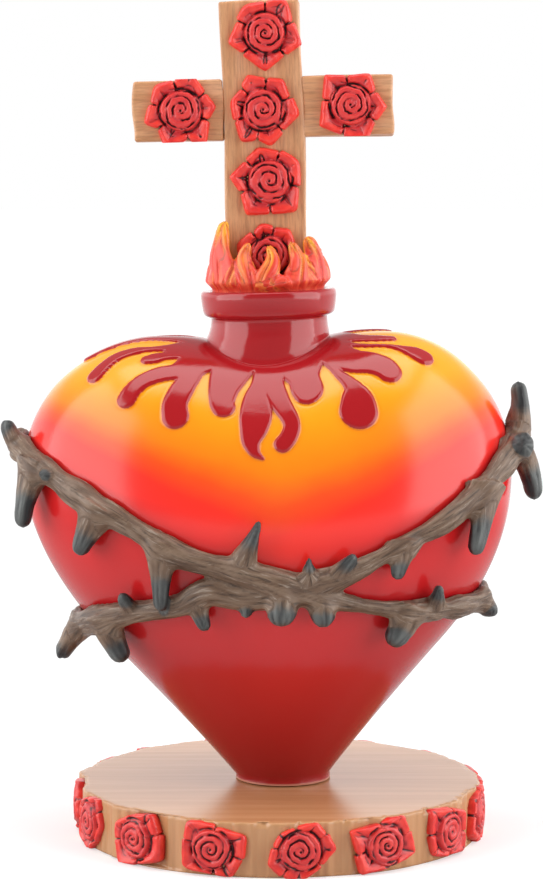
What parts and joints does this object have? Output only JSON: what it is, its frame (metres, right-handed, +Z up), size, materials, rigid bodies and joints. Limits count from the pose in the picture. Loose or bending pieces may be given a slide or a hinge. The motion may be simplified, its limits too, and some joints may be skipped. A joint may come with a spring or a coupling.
{
  "type": "sacred heart statue",
  "caption": "Painted cast heart on a round rose-edged plinth, with a necked collar, a crown of thorns, a ring of flames and a rose-set cross, standing as table decor.",
  "frame": {"origin": "centre of the plinth's flat underside", "axes": "+Z up, the front with the roses of the cross faces -Y, +X to the right as seen from the front"},
  "size_m": [0.164, 0.1247, 0.2521],
  "materials": {
    "plinth": "cast resin painted tan like wood, with red roses around the side",
    "heart": "cast resin, satin paint fading from yellow-orange at the shoulders to red, with dark red drips and neck",
    "crown": "cast resin painted taupe brown with grey thorn tips",
    "flames": "cast resin painted red with yellow-ochre streaks",
    "cross": "cast resin painted tan like wood, with red roses"
  },
  "bodies": {
    "root": {"plinth": "plinth", "heart": "heart", "crown_of_thorns": "crown", "flame_ring": "flames", "cross": "cross"}
  },
  "joints": []
}
